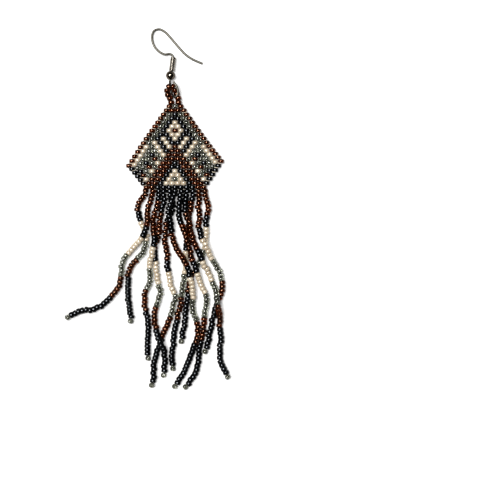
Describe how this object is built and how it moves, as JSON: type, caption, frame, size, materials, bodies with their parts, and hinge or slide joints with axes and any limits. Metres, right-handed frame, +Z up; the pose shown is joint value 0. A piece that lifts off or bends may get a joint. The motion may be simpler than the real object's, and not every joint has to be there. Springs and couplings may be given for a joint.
{
  "type": "beaded earring",
  "caption": "Drop earring with a French ear wire, a metal ball, a bead loop, a flat woven seed-bead panel and a long fringe of seed-bead strands, lying flat.",
  "frame": {"origin": "centre of the bounding box, on the floor that the earring lies on", "axes": "+Y along the earring from the fringe's ends to the ear wire, +X to the right as seen from above, +Z up from the floor through the panel's thickness"},
  "size_m": [0.0582, 0.1262, 0.0041],
  "materials": {
    "ear_wire": "polished, warm grey",
    "coil": "polished, warm grey",
    "ball": "polished",
    "brown_beads": "gloss",
    "panel_beads": "gloss",
    "strand_beads": "gloss"
  },
  "bodies": {
    "root": {"ear_wire": "ear_wire", "coil": "coil", "ball": "ball", "hanging_loop": "brown_beads", "beaded_panel": "panel_beads", "strand_01": "strand_beads", "strand_02": "strand_beads", "strand_03": "strand_beads", "strand_04": "strand_beads", "strand_05": "strand_beads", "strand_06": "strand_beads", "strand_07": "strand_beads", "strand_08": "strand_beads", "strand_09": "strand_beads", "strand_10": "strand_beads", "strand_11": "strand_beads"}
  },
  "joints": []
}
